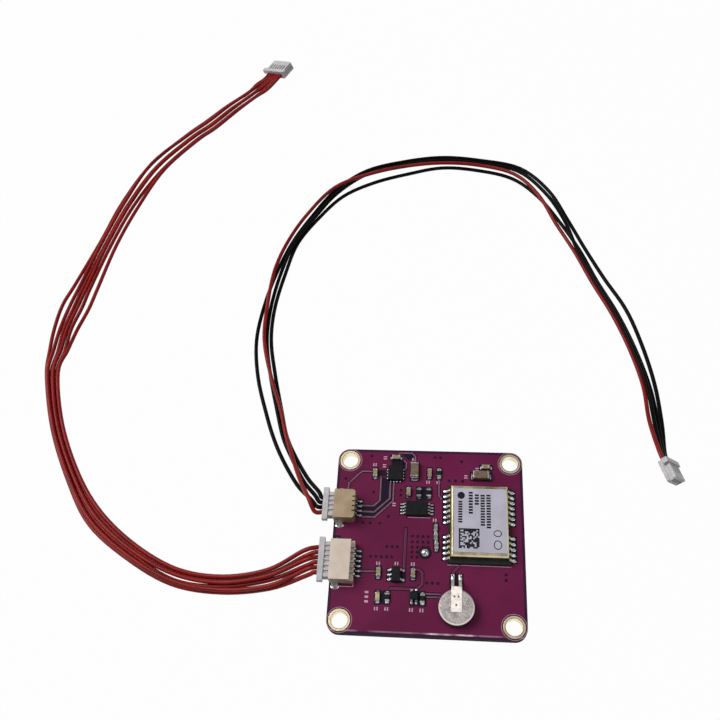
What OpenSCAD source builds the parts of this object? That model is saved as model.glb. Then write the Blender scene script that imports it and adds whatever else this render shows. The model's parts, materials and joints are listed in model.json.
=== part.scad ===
// Satellite positioning module: a square circuit board with a shielded
// receiver, a compass chip, a backup cell, two wire harnesses on small
// side-entry headers, and a ceramic patch antenna taped to its underside.
// Millimetres. +Z is up, the antenna's face rests on z = 0, and the origin
// is under the centre of the mounting holes. +Y runs along the header edge.

/* [Board] */
// width and depth of the square board
board_w = 38; // [37:0.5:42]
// board thickness
board_t = 1.6; // [1.2:0.2:2]
// radius of the board's corners
board_r = 2.4; // [1:0.2:3.6]
// distance from the board's edges to the centres of the mounting holes
hole_inset = 2.5; // [2.4:0.1:3]
// finished bore of the mounting holes
hole_d = 3.2; // [2.4:0.1:3.4]
// copper ring around each mounting hole
ring_d = 4.2; // [3.9:0.1:4.6]

/* [Antenna] */
// width and depth of the ceramic antenna
antenna_w = 25; // [20:0.5:28]
// thickness of the ceramic antenna
antenna_t = 4; // [3:0.5:5]
// width and depth of its radiating electrode
patch_w = 20.5; // [14:0.5:22]
// thickness of the adhesive tape between the antenna and the board
tape_t = 0.3; // [0.2:0.05:0.5]
// diameter of the feed pin
feed_d = 0.9; // [0.6:0.1:1.2]

/* [Receiver] */
// width of the receiver's carrier board
rx_w = 12.2; // [11.4:0.1:12.6]
// length of the receiver's carrier board
rx_l = 16; // [15.6:0.1:16.6]
// height of the receiver over the main board
rx_h = 2.4; // [2:0.1:3.2]
// bare margin of the carrier board beside the shield
shield_margin = 0.5; // [0.3:0.05:0.8]

/* [Connectors] */
// spacing of the connector contacts
pin_pitch = 1; // [0.95:0.05:1.05]
// height of a header over the board
header_h = 2.95; // [2.85:0.05:3.4]
// depth of a header from its open face to its back
header_depth = 4.25; // [4.1:0.05:4.6]
// play between a plug and its header on each side
plug_play = 0.05; // [0.03:0.01:0.1]
// diameter of a wire over its insulation
wire_d = 0.9; // [0.7:0.05:0.9]

/* [Backup cell] */
// diameter of the cell
cell_d = 6.8; // [5.8:0.1:7]
// height of the cell
cell_h = 2.1; // [1.6:0.1:2.6]
// width of the cell's top tab
tab_w = 2; // [1.6:0.1:2.4]

/* [Hidden] */
$fn = 48;

// heights
z_ant = antenna_t;
z_under = z_ant + tape_t;
z_top = z_under + board_t;

// mounting holes
hole_pitch = board_w - 2 * hole_inset;
plating_t = 0.05;
corners = [[-1, -1], [1, -1], [1, 1], [-1, 1]];

// antenna and its feed, which comes up through the board
patch_t = 0.05;
tape_w = antenna_w - 2;
feed_at = [-0.45, -2.85];
feed_head_d = 2;
feed_head_t = 0.3;
feed_bore = feed_d + 0.3;
dome_d = 1.9;
dome_h = 0.75;

// receiver
rx_at = [10.1, 3.1];
rx_board_t = 0.8;
rx_wall = 0.2;
rx_bevel = 0.3;
rx_notch_r = 0.35;
rx_foot = 1.1;
rx_joint_w = 0.75;
rx_pitch = 1.1;
label_w = 10.3;
label_l = 13.1;
label_t = 0.08;
// contact centres along one side: five, a wider gap, then seven
rx_pads = concat([for (i = [0:4]) -7 + i * rx_pitch], [for (i = [0:6]) 0.4 + i * rx_pitch]);

// leaded and leadless chips
compass_at = [-6.9, 13.6];
compass_w = 3;
compass_h = 0.9;
memory_at = [-2.3, 6.1];
memory_size = [4.4, 3, 0.9];
regulator_at = [-6, -7.5];
regulator_size = [1.6, 2.9, 1];
diode_at = [-2.4, -11.5];
diode_size = [1.5, 1.5, 0.9];
chip_gap = 0.1;
lead_t = 0.15;

// chip parts: x, y, turn
cap_size = [1.6, 0.8, 0.8];
cap_spots = [[-6.9, 17.2, 0], [-11.1, 13.6, 90], [0.1, 13.9, 90], [-4.1, 9.7, 90],
    [11.6, 15.5, 0], [-9.45, -7.15, 90], [-2.7, -7.15, 90]];
big_cap_size = [3.2, 1.6, 1.25];
big_cap_spots = [[-3, 14.3, 90], [10.6, 13.55, 0]];
res_size = [1.6, 0.8, 0.5];
res_spots = [[2.05, 13.9, 90], [-1.95, 9.6, 90], [0.05, 9.6, 90],
    [-7.5, -11.9, 90], [-0.75, -11.9, 90]];
rf_size = [1.2, 0.7, 0.6];
rf_spots = [[1.55, 2.15, 90], [1.6, 0.35, 90], [1.75, -1.5, 90]];
led_size = [1.6, 0.8, 0.6];
led_at = [-9.4, -11.9, 90];
chip_cap = 0.32;
chip_cap_rim = 0.03;
fillet_l = 0.45;

// backup cell, standing on its bottom tab
cell_at = [5.7, -13.7];
cell_tab_t = 0.15;
cell_cap_d = cell_d - 1.6;
cell_cap_h = 0.5;
cell_seal_d = cell_d - 0.7;
cell_seal_h = 0.3;
cell_bevel = 0.25;
tab_reach = 1;
tab_fall = 2.2;
tab_foot = 0.9;
tab_slot = 0.85;

// headers: the open face is flush with the board's edge
header_x = -board_w / 2 + 0.05;
header_4_y = 5.9;
header_6_y = -5.5;
header_floor = 0.4;
header_corner = 0.4;
// slits in the back of the four-way header
slit_l = 0.55;
// the six-way header steps down to a notched ledge at its back
step_in = 0.2;
ledge_l = 0.45;
ledge_h = 1.75;
notch_w = 0.45;
pin_w = 0.25;
pin_t = 0.2;
pin_foot = 1.05;
pin_tip = 0.9;
pin_play = 0.01;
pin_behind = 0.1;
anchor_t = 0.2;
anchor_h = 1.3;
anchor_l = 1.4;
anchor_in = 0.4;
anchor_foot = 0.75;

// plugs: wire end at u = 0, nose along +u, contacts side by side along v
plug_l = 4.6;
plug_out = 2.25;
plug_end_play = 0.1;
nose_cut = 0.25;
plug_t = 2.1;
flange_l = 1.1;
flange_rise = 0.2;
ear_t = 1.2;
ear_extra = 0.85;
cavity_w = 0.62;
cavity_h = 0.9;
terminal_wall = 0.13;
terminal_play = 0.01;
terminal_in = 0.5;
terminal_l = 3.8;
window_w = 0.55;
window_l = 1.8;
window_t = 0.3;
groove_t = 0.2;
groove_w = 0.7;
shoulder = 0.1;
pin_z = header_floor + plug_t / 2;
wire_z = z_top + pin_z;
plug_x = header_x - plug_out;

// far plugs where they lie: x, y, heading, rise, roll
far_4 = [48.9, 19.25, -72, 2, -54];
far_6 = [-46.7, 137.1, 59, 4, -20];

// length of straight wire at the plugs, and how the four-way wires fan out of theirs
straight_4 = [1.7, 1.3, 0.95, 0.55];
turn_4 = [0.1, 0.15, 0.2, 0.2];
straight_6 = 0.9;
straight_far = 2.2;

// where the harnesses lie. Wires of the four-way harness cross one another, so each station
// gives x, y, then how far right of the way each wire runs, then each wire's height
// (red wire, then the three black ones)
lay_4 = [
    [-23.5, 8.1, [-1.2, -0.8, 0.3, 1.3], [7.7, 6, 6.5, 7.1]],
    [-26.4, 12.2, [-0.5, -1.4, 0.1, 1.1], [5.2, 3.6, 4.1, 4.6]],
    [-29.8, 18.5, [0.2, -1.9, 0, 0.8], [2.8, 1.3, 1.4, 1.9]],
    [-32.4, 23.7, [0.8, -2, 0, 0.85], [1.9, 0.6, 0.6, 1]],
    [-34.5, 30, [1, -2.4, 0.1, 1.1], [1.7, 0.5, 0.5, 0.6]],
    [-37.5, 39.5, [0.5, -2.5, 0.4, 1.5], [1.5, 0.5, 0.5, 0.5]],
    [-39.5, 49, [0, -2, 0.5, 1.5], [1.5, 0.5, 0.5, 0.5]],
    [-39.5, 58.5, [-0.3, -1.3, 0.4, 1.4], [1.5, 0.5, 0.5, 0.5]],
    [-38, 68.5, [-1.2, -0.8, 0.3, 1.4], [1.5, 0.5, 0.6, 0.5]],
    [-35.5, 78, [-1.5, -0.3, 0.6, 1.1], [0.6, 0.5, 1.4, 0.5]],
    [-31, 86.5, [-1.9, -0.5, 0.8, 1.4], [0.6, 0.5, 1.3, 0.5]],
    [-25.5, 94.5, [-1, -0.9, 0.2, 2.1], [1.6, 0.5, 0.6, 0.5]],
    [-17.5, 100, [0.2, -2, -0.9, 2.7], [1.5, 0.5, 0.5, 0.5]],
    [-8, 103, [0.5, -2, -1, 2.5], [1.4, 0.5, 0.5, 0.5]],
    [1.5, 104.5, [0.6, -1.8, -0.8, 1.9], [1, 0.5, 0.5, 0.5]],
    [11, 103.5, [0.4, -1.7, -0.7, 1.9], [0.9, 0.5, 0.5, 0.5]],
    [20.5, 100.5, [1, -2.1, -1, 2], [1.3, 0.5, 0.5, 0.5]],
    [27, 93.5, [1.5, -2, -0.8, 1.4], [1.5, 0.5, 0.6, 0.5]],
    [31.5, 84.5, [1.8, -1.5, -0.3, 0.6], [0.8, 0.5, 1.4, 0.5]],
    [35, 75.5, [1.1, -1.6, 0.6, -0.2], [0.5, 0.5, 1.4, 0.5]],
    [38.5, 66.5, [1.1, -2, 0.6, -0.1], [0.5, 0.5, 1.4, 0.5]],
    [42.5, 57.5, [1.2, -2.3, 0.7, 0], [0.5, 0.5, 1.4, 0.5]],
    [45.5, 48, [1.1, -1.9, 0.6, -0.1], [0.5, 0.5, 1.4, 0.5]],
    [47.5, 38.5, [1.1, -1.5, 0.5, -0.3], [0.7, 0.5, 1.5, 0.5]],
    [48, 29, [1.6, -1.4, 0.5, -0.5], [2.5, 0.8, 2.2, 1.2]]
];
// the six-way harness keeps its order. Each station gives x, y, how far right of the way each
// wire runs, the height, the lift of every second wire, and the roll of the row
lay_6 = [
    [-24, -6.1, [-2.4, -1.4, -0.5, 0.5, 1.4, 2.4], 6.6, 0.5, 0],
    [-31.5, -8.2, [-2.2, -1.9, -0.5, 0.1, 0.7, 1.3], 3.2, 1, 0],
    [-41.5, -9.4, [-1.5, -1.2, -0.3, 0.3, 0.9, 1.5], 0.8, 0.85, 0],
    [-51.5, -8, [-1.6, -1.1, -0.7, 0.3, 0.8, 1.4], 0.5, 0.85, 0],
    [-61.5, -3.3, [-1.5, -1, -0.2, 0.3, 0.9, 1.5], 0.5, 0.85, 0],
    [-70.9, 3.7, [-1.7, -1, -0.3, 0.3, 1, 1.7], 0.5, 0.8, 0],
    [-77.8, 12.8, [-1.4, -0.9, -0.3, 0.2, 0.8, 1.3], 0.5, 0.85, 0],
    [-84.6, 25.2, [-1.3, -0.8, -0.3, 0.2, 0.7, 1.3], 0.5, 0.85, 0],
    [-89.1, 38.5, [-1.5, -1, -0.4, 0.3, 0.9, 1.5], 0.5, 0.8, 0],
    [-89.3, 45.3, [-2.3, -1.1, -0.2, 0.7, 1.5, 2.4], 0.5, 0.5, 0],
    [-89, 51.6, [-3, -1.4, -0.5, 0.4, 1.3, 3], 0.5, 0.2, 0],
    [-88, 58, [-3.6, -1.6, -0.5, 0.5, 1.6, 3.5], 0.5, 0.1, 0],
    [-86.9, 64.3, [-2.9, -1.4, -0.5, 0.5, 1.4, 3.4], 0.5, 0.2, 0],
    [-84.2, 77.6, [-2, -1.2, -0.4, 0.4, 1.2, 2.9], 0.5, 0.5, 0],
    [-80.8, 90.9, [-2.2, -1.3, -0.4, 0.4, 1.3, 3], 0.5, 0.5, 0],
    [-75.4, 103.4, [-2.6, -2, -0.7, 0.3, 1.4, 2.5], 0.5, 0.8, 0],
    [-67.8, 114, [-2.2, -1.4, -0.5, 0.4, 1.3, 2.2], 0.5, 0.6, 0],
    [-62.8, 119.1, [-2.4, -1.4, -0.5, 0.4, 1.2, 2.1], 0.5, 0.6, 0],
    [-57.7, 125.4, [-2.1, -1.3, -0.4, 0.4, 1.2, 2], 0.5, 0.6, 0],
    [-53.2, 130.2, [-1.6, -0.9, -0.2, 0.5, 1.2, 2], 0.6, 0.8, 0],
    [-50.2, 133, [-2.5, -1.5, -0.5, 0.5, 1.5, 2.5], 1.2, 0.3, -10]
];

// sub-parts

// shared functions
function header_w(n) = (n - 1) * pin_pitch + 3;
function nose_w(n) = (n - 1) * pin_pitch + 2;
function ear_w(n) = nose_w(n) + 2 * ear_extra;
function pin_y(n, i) = (i - (n - 1) / 2) * pin_pitch;
function unit(a) = a / norm(a);

// directions of a far plug: along its nose, and along its row of contacts
function nose_dir(f) = [cos(f[3]) * cos(f[2]), cos(f[3]) * sin(f[2]), sin(f[3])];
function row_dir(f) = [
    -sin(f[3]) * sin(f[4]) * cos(f[2]) - cos(f[4]) * sin(f[2]),
    -sin(f[3]) * sin(f[4]) * sin(f[2]) + cos(f[4]) * cos(f[2]),
    cos(f[3]) * sin(f[4])];
// height that leaves the lowest ear or edge of a far plug on the ground
ear_low = plug_t / 2 + flange_rise - ear_t;
function far_z(f, n) = max(
    -row_dir(f)[2] * ear_w(n) / 2 - ear_low * cos(f[3]) * cos(f[4]),
    -row_dir(f)[2] * nose_w(n) / 2 + plug_t / 2 * cos(f[3]) * cos(f[4]));
// wires run from station to station: a smooth curve through points p, n steps to a span
function curve(p, n) = [for (i = [0:len(p) - 2], k = [0:i < len(p) - 2 ? n - 1 : n])
    between(p[max(i - 1, 0)], p[i], p[i + 1], p[min(i + 2, len(p) - 1)], k / n)];
function between(a, b, c, d, t) = (2 * b + (c - a) * t + (2 * a - 5 * b + 4 * c - d) * t * t
    + (3 * b - a - 3 * c + d) * t * t * t) / 2;
// level direction to the right of the way from point a to point b
function right_of(a, b) = unit([b[1] - a[1], a[0] - b[0], 0]);
// that direction at station k of a lay that starts at first and ends at last
function right_at(lay, k, first, last) = right_of(k == 0 ? first : lay[k - 1],
    k == len(lay) - 1 ? last : lay[k + 1]);

// wire i of a row of n, at the face of its seated plug and a little way out
function leaving(y, n, i, out, turn) = [
    [plug_x, y + pin_y(n, i), wire_z], [plug_x - out, y + pin_y(n, i) + turn, wire_z]];
// contact j of a far plug: a little way before its wire face, and at that face
function arriving(f, n, j) = [for (out = [straight_far, 0])
    [f[0], f[1], far_z(f, n)] + row_dir(f) * pin_y(n, j) - nose_dir(f) * out];

// the four-way wires turn aside at once, the one on the inside of the turn first
function path_4(i, j) = curve(concat(
    leaving(header_4_y, 4, i, straight_4[i], turn_4[i]),
    [for (k = [0:len(lay_4) - 1]) let (s = lay_4[k])
        [s[0], s[1], s[3][i]] + s[2][i] * right_at(lay_4, k, [plug_x, header_4_y], far_4)],
    arriving(far_4, 4, j)), 2);
function path_6(i) = curve(concat(leaving(header_6_y, 6, i, straight_6, 0),
    [for (k = [0:len(lay_6) - 1]) let (s = lay_6[k], across = s[2][i])
        [s[0], s[1], s[3] + i % 2 * s[4] - across * sin(s[5])]
            + across * cos(s[5]) * right_at(lay_6, k, [plug_x, header_6_y], far_6)],
    arriving(far_6, 6, 5 - i)), 2);

function along(p, i) = unit(p[min(i + 1, len(p) - 1)] - p[max(i - 1, 0)]);
function ring(c, t) = let (s = unit(cross([0, 0, 1], t)), q = cross(t, s))
    [for (k = [0:7]) c + wire_d / 2 * (cos(45 * k) * s + sin(45 * k) * q)];

// small shapes
module block(size) {
    translate([-size[0] / 2, -size[1] / 2, 0]) cube(size);
}

// outline in x and z, carried along y and centred on it
module slice(points, w) {
    translate([0, w / 2, 0]) rotate([90, 0, 0]) linear_extrude(w) polygon(points);
}

// block with its four top edges cut at 45 degrees
module bevel_block(size, c) {
    intersection() {
        slice(roof(size[0], size[2], c), size[1]);
        rotate([0, 0, 90]) slice(roof(size[1], size[2], c), size[0]);
    }
}
function roof(w, h, c) = [[-w / 2, 0], [w / 2, 0], [w / 2, h - c], [w / 2 - c, h],
    [-w / 2 + c, h], [-w / 2, h - c]];

module on_board(at, turn = 0) {
    translate([at[0], at[1], z_top]) rotate([0, 0, turn]) children();
}

module at_holes() {
    for (c = corners)
        translate([c[0] * hole_pitch / 2, c[1] * hole_pitch / 2, 0]) children();
}

module rounded_plate(w, r) {
    square([w, w - 2 * r], center = true);
    square([w - 2 * r, w], center = true);
    for (c = corners)
        translate([c[0] * (w / 2 - r), c[1] * (w / 2 - r)]) circle(r);
}

// board
module circuit_board() {
    color([0.4, 0.13, 0.28])
    difference() {
        translate([0, 0, z_under]) linear_extrude(board_t) rounded_plate(board_w, board_r);
        at_holes() translate([0, 0, -1]) cylinder(d = hole_d + 2 * plating_t, h = z_top + 2);
        translate([feed_at[0], feed_at[1], -1]) cylinder(d = feed_bore, h = z_top + 2);
    }
}

module hole_plating() {
    color([0.83, 0.68, 0.36])
    at_holes() difference() {
        union() {
            translate([0, 0, z_under]) cylinder(d = hole_d + 2 * plating_t, h = board_t);
            translate([0, 0, z_top]) cylinder(d = ring_d, h = plating_t);
            translate([0, 0, z_under - plating_t]) cylinder(d = ring_d, h = plating_t);
        }
        translate([0, 0, -1]) cylinder(d = hole_d, h = z_top + 3);
    }
}

// antenna
module antenna_ceramic() {
    color([0.86, 0.82, 0.74])
    difference() {
        translate([0, 0, patch_t]) block([antenna_w, antenna_w, antenna_t - patch_t]);
        translate([feed_at[0], feed_at[1], -1]) cylinder(d = feed_d, h = antenna_t + 2);
        translate([feed_at[0], feed_at[1], -1]) cylinder(d = feed_head_d, h = 1 + feed_head_t);
    }
}

module antenna_patch() {
    color([0.8, 0.8, 0.8])
    difference() {
        block([patch_w, patch_w, patch_t]);
        translate([feed_at[0], feed_at[1], -1]) cylinder(d = feed_head_d, h = 2);
    }
}

module antenna_pin() {
    color([0.75, 0.75, 0.76])
    translate([feed_at[0], feed_at[1], 0]) {
        cylinder(d = feed_head_d, h = feed_head_t);
        cylinder(d = feed_d, h = z_top);
    }
}

module antenna_tape() {
    color([0.9, 0.9, 0.88])
    difference() {
        translate([0, 0, z_ant]) block([tape_w, tape_w, tape_t]);
        translate([feed_at[0], feed_at[1], 0]) cylinder(d = feed_bore + 1, h = z_top);
    }
}

module feed_solder() {
    r = (dome_d * dome_d / 4 + dome_h * dome_h) / (2 * dome_h);
    color([0.8, 0.8, 0.82])
    on_board(feed_at) intersection() {
        translate([0, 0, dome_h - r]) sphere(r);
        cylinder(d = dome_d + 1, h = dome_h + 1);
    }
}

// receiver
module rx_notches(h) {
    for (s = [-1, 1], y = rx_pads)
        translate([s * rx_w / 2, y, -1]) cylinder(r = rx_notch_r, h = h + 2);
}

module receiver_board() {
    color([0.1, 0.12, 0.12])
    on_board(rx_at) difference() {
        block([rx_w, rx_l, rx_board_t]);
        rx_notches(rx_board_t);
    }
}

module receiver_joints() {
    color([0.82, 0.82, 0.84])
    on_board(rx_at) for (s = [-1, 1], y = rx_pads)
        translate([s * rx_w / 2, y, 0]) rotate([0, 0, s < 0 ? 180 : 0]) {
            slice([[0, 0], [rx_foot, 0], [rx_foot, 0.1], [0.35, 0.25], [0, rx_board_t]], rx_joint_w);
            intersection() {
                cylinder(r = rx_notch_r, h = rx_board_t);
                translate([-1, -1, 0]) cube([1, 2, 2]);
            }
        }
}

module receiver_chip() {
    color([0.08, 0.08, 0.09])
    on_board(rx_at) translate([0, 1.5, rx_board_t]) block([5, 5, 0.9]);
}

module receiver_shield() {
    w = rx_w - 2 * shield_margin;
    l = rx_l - 2 * shield_margin - 0.4;
    h = rx_h - rx_board_t;
    color([0.75, 0.7, 0.6])
    on_board(rx_at) translate([0, 0.2, rx_board_t]) difference() {
        bevel_block([w, l, h], rx_bevel);
        translate([0, 0, -1]) bevel_block([w - 2 * rx_wall, l - 2 * rx_wall, h + 1 - rx_wall], rx_bevel);
    }
}

module receiver_label() {
    color([0.86, 0.85, 0.9])
    on_board(rx_at) translate([0.15, 0.25, rx_h]) block([label_w, label_l, label_t]);
}

// chips
module lead(h, reach, w) {
    a = reach * 0.35;
    b = reach * 0.55;
    slice([[0, h + lead_t / 2], [0, h - lead_t / 2], [a - lead_t, h - lead_t / 2], [b - lead_t, 0],
        [reach, 0], [reach, lead_t], [b, lead_t], [a, h + lead_t / 2]], w);
}

module chip_lead(size, dir, shift, reach, w) {
    half = abs(dir) == 90 ? size[1] / 2 : size[0] / 2;
    rotate([0, 0, dir]) translate([half, shift, 0]) lead(chip_gap + size[2] / 2, reach, w);
}

module chip_block(size) {
    translate([0, 0, chip_gap]) bevel_block(size, 0.1);
}

module compass_chip() {
    color([0.1, 0.1, 0.11])
    on_board(compass_at) block([compass_w, compass_w, compass_h]);
}

module memory_chip() {
    color([0.1, 0.1, 0.11])
    on_board(memory_at) difference() {
        chip_block(memory_size);
        translate([-1.65, 0.95, chip_gap + memory_size[2] - 0.08]) cylinder(d = 0.55, h = 1);
    }
}

module memory_leads() {
    color([0.78, 0.78, 0.79])
    on_board(memory_at) for (i = [0:3], d = [0, 180])
        chip_lead(memory_size, d, (i - 1.5) * 0.65, 1, 0.28);
}

module regulator_chip() {
    color([0.11, 0.11, 0.12])
    on_board(regulator_at) chip_block(regulator_size);
}

module regulator_leads() {
    color([0.78, 0.78, 0.79])
    on_board(regulator_at) {
        for (y = [-0.95, 0, 0.95]) chip_lead(regulator_size, 180, y, 0.8, 0.4);
        for (y = [-0.95, 0.95]) chip_lead(regulator_size, 0, y, 0.8, 0.4);
    }
}

module diode_body() {
    color([0.1, 0.1, 0.11])
    on_board(diode_at) chip_block(diode_size);
}

module diode_leads() {
    color([0.78, 0.78, 0.79])
    on_board(diode_at) {
        chip_lead(diode_size, 90, 0.45, 0.6, 0.35);
        for (x = [-0.45, 0.45]) chip_lead(diode_size, -90, x, 0.6, 0.35);
    }
}

// chip parts: a body between two end caps, with a solder fillet at each end
module chip_middle(spot, size) {
    on_board(spot, spot[2]) block([size[0] - 2 * chip_cap, size[1], size[2]]);
}

module chip_ends(spot, size) {
    on_board(spot, spot[2]) for (s = [-1, 1])
        translate([s * (size[0] - chip_cap) / 2, 0, 0])
            block([chip_cap, size[1] + 2 * chip_cap_rim, size[2] + chip_cap_rim]);
}

module chip_fillets(spot, size) {
    on_board(spot, spot[2]) for (d = [0, 180])
        rotate([0, 0, d]) translate([size[0] / 2, 0, 0])
            slice([[0, 0], [fillet_l, 0], [fillet_l, 0.06], [0.15, size[2] * 0.3],
                [0, size[2] * 0.6]], size[1]);
}

module small_capacitors() {
    color([0.62, 0.52, 0.38]) for (p = cap_spots) chip_middle(p, cap_size);
}

module large_capacitors() {
    color([0.45, 0.37, 0.3]) for (p = big_cap_spots) chip_middle(p, big_cap_size);
}

module resistors() {
    color([0.25, 0.27, 0.26]) for (p = res_spots) chip_middle(p, res_size);
}

module filter_parts() {
    color([0.4, 0.4, 0.38]) for (p = rf_spots) chip_middle(p, rf_size);
}

module power_lamp() {
    color([0.8, 0.72, 0.5]) chip_middle(led_at, led_size);
}

module chip_end_caps() {
    color([0.8, 0.8, 0.8]) {
        for (p = cap_spots) chip_ends(p, cap_size);
        for (p = big_cap_spots) chip_ends(p, big_cap_size);
        for (p = res_spots) chip_ends(p, res_size);
        for (p = rf_spots) chip_ends(p, rf_size);
        chip_ends(led_at, led_size);
    }
}

module chip_solder() {
    color([0.85, 0.85, 0.87]) {
        for (p = cap_spots) chip_fillets(p, cap_size);
        for (p = big_cap_spots) chip_fillets(p, big_cap_size);
        for (p = res_spots) chip_fillets(p, res_size);
        for (p = rf_spots) chip_fillets(p, rf_size);
        chip_fillets(led_at, led_size);
    }
}

// backup cell
module cell_tab_bottom() {
    color([0.8, 0.79, 0.77])
    on_board(cell_at) block([cell_cap_d - 1, 2, cell_tab_t]);
}

module cell_cap() {
    color([0.72, 0.72, 0.73])
    on_board(cell_at) translate([0, 0, cell_tab_t]) cylinder(d = cell_cap_d, h = cell_cap_h);
}

module cell_seal() {
    color([0.12, 0.12, 0.13])
    on_board(cell_at) translate([0, 0, cell_tab_t + cell_cap_h - cell_seal_h]) difference() {
        cylinder(d = cell_seal_d, h = cell_seal_h);
        translate([0, 0, -1]) cylinder(d = cell_cap_d, h = 2);
    }
}

module cell_can() {
    color([0.74, 0.74, 0.74])
    on_board(cell_at) translate([0, 0, cell_tab_t + cell_cap_h - cell_seal_h]) {
        h = cell_h - cell_cap_h + cell_seal_h;
        difference() {
            rotate_extrude() polygon([[0, 0], [cell_d / 2, 0], [cell_d / 2, h - cell_bevel],
                [cell_d / 2 - cell_bevel, h], [0, h]]);
            translate([0, 0, -1]) cylinder(d = cell_seal_d, h = 1 + cell_seal_h);
        }
    }
}

module cell_tab_top() {
    t = cell_tab_t;
    z = t + cell_h;
    y = cell_d / 2 + 0.2;
    color([0.85, 0.84, 0.81])
    on_board(cell_at) difference() {
        rotate([0, 0, 90]) slice([[-tab_reach, z], [y, z], [y + tab_fall - t, 0],
            [y + tab_fall + tab_foot, 0], [y + tab_fall + tab_foot, t], [y + tab_fall, t],
            [y + t, z + t], [-tab_reach, z + t]], tab_w);
        translate([-tab_slot / 2, y + 0.3, -1]) cube([tab_slot, 10, 10]);
    }
}

// headers
module header_cavity(n) {
    deep = plug_l - plug_out + plug_end_play;
    translate([-1, -nose_w(n) / 2 - plug_play, header_floor])
        cube([deep + 1, nose_w(n) + 2 * plug_play, plug_t + plug_play]);
    for (i = [0:n - 1]) translate([deep - plug_end_play, pin_y(n, i), pin_z - pin_t / 2])
        translate([0, -pin_w / 2 - pin_play, 0])
            cube([header_depth, pin_w + 2 * pin_play, pin_t + pin_play]);
}

// slots of width w, open at the top and back, from x on
module header_slots(n, x, w) {
    for (i = [0:n - 1]) translate([x, pin_y(n, i) - w / 2, pin_z - pin_t / 2])
        cube([header_depth, w, header_h]);
}

module header_contacts(n, back) {
    a = pin_z - pin_t / 2;
    b = pin_z + pin_t / 2;
    d = back + pin_behind;
    for (i = [0:n - 1]) translate([0, pin_y(n, i), 0])
        slice([[pin_tip, a], [d, a], [d, 0], [d + pin_foot, 0], [d + pin_foot, pin_t],
            [d + pin_t, pin_t], [d + pin_t, b], [pin_tip, b]], pin_w);
}

module header_anchors(n) {
    t = anchor_t;
    for (s = [0, 1]) mirror([0, s, 0])
        translate([anchor_in + anchor_l / 2, header_w(n) / 2, 0]) rotate([0, 0, 90])
            slice([[0, 0], [anchor_foot, 0], [anchor_foot, t], [t, t],
                [t, anchor_h], [0, anchor_h]], anchor_l);
}

module header_4_housing() {
    w = header_w(4);
    c = header_corner;
    color([0.68, 0.6, 0.49]) translate([header_x, header_4_y, z_top]) difference() {
        linear_extrude(header_h) polygon([[0, -w / 2], [header_depth - c, -w / 2],
            [header_depth, -w / 2 + c], [header_depth, w / 2 - c], [header_depth - c, w / 2], [0, w / 2]]);
        header_cavity(4);
        header_slots(4, header_depth - slit_l, pin_w + 2 * pin_play);
    }
}

module header_4_contacts() {
    color([0.78, 0.76, 0.72]) translate([header_x, header_4_y, z_top]) header_contacts(4, header_depth);
}

module header_4_anchors() {
    color([0.82, 0.82, 0.83]) translate([header_x, header_4_y, z_top]) header_anchors(4);
}

module header_6_housing() {
    w = header_w(6);
    color([0.82, 0.76, 0.7]) translate([header_x, header_6_y, z_top]) difference() {
        slice([[0, 0], [header_depth + ledge_l, 0], [header_depth + ledge_l, ledge_h],
            [header_depth - step_in, ledge_h], [header_depth - step_in, header_h], [0, header_h]], w);
        header_cavity(6);
        header_slots(6, header_depth - step_in, notch_w);
    }
}

module header_6_contacts() {
    color([0.78, 0.76, 0.72]) translate([header_x, header_6_y, z_top])
        header_contacts(6, header_depth + ledge_l);
}

module header_6_anchors() {
    color([0.82, 0.82, 0.83]) translate([header_x, header_6_y, z_top]) header_anchors(6);
}

// plugs
module plug_housing(n) {
    w = nose_w(n);
    difference() {
        union() {
            translate([0, 0, -plug_t / 2]) linear_extrude(plug_t) polygon([[0, -w / 2],
                [plug_l - nose_cut, -w / 2], [plug_l, -w / 2 + nose_cut], [plug_l, w / 2 - nose_cut],
                [plug_l - nose_cut, w / 2], [0, w / 2]]);
            translate([0, -w / 2, -plug_t / 2]) cube([flange_l, w, plug_t + flange_rise]);
            translate([0, -ear_w(n) / 2, ear_low]) cube([flange_l, ear_w(n), ear_t]);
        }
        for (i = [0:n - 1]) translate([0, pin_y(n, i), 0]) {
            translate([-1, -cavity_w / 2, -cavity_h / 2]) cube([plug_l + 2, cavity_w, cavity_h]);
            translate([flange_l + shoulder, -window_w / 2, plug_t / 2 - window_t])
                cube([window_l, window_w, 1]);
        }
        for (s = [-1, 1]) translate([flange_l + shoulder, s * w / 2 - groove_t, -groove_w / 2])
            cube([plug_l, 2 * groove_t, groove_w]);
    }
}

module plug_terminals(n) {
    w = cavity_w - 2 * terminal_play;
    h = cavity_h - terminal_play;
    for (i = [0:n - 1]) translate([terminal_in, pin_y(n, i), -cavity_h / 2]) difference() {
        translate([0, -w / 2, 0]) cube([terminal_l, w, h]);
        translate([-1, -w / 2 + terminal_wall, terminal_wall])
            cube([plug_l + 2, w - 2 * terminal_wall, h - 2 * terminal_wall]);
    }
}

module seated(y) {
    translate([plug_x, y, wire_z]) children();
}

module lying(f, n) {
    translate([f[0], f[1], far_z(f, n)]) rotate([0, 0, f[2]]) rotate([0, -f[3], 0])
        rotate([f[4], 0, 0]) children();
}

module plug_4_seated() {
    color([0.84, 0.83, 0.84]) seated(header_4_y) plug_housing(4);
}

module plug_4_seated_terminals() {
    color([0.77, 0.75, 0.7]) seated(header_4_y) plug_terminals(4);
}

module plug_4_far() {
    color([0.84, 0.83, 0.84]) lying(far_4, 4) plug_housing(4);
}

module plug_4_far_terminals() {
    color([0.77, 0.75, 0.7]) lying(far_4, 4) plug_terminals(4);
}

module plug_6_seated() {
    color([0.84, 0.83, 0.84]) seated(header_6_y) plug_housing(6);
}

module plug_6_seated_terminals() {
    color([0.77, 0.75, 0.7]) seated(header_6_y) plug_terminals(6);
}

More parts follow.
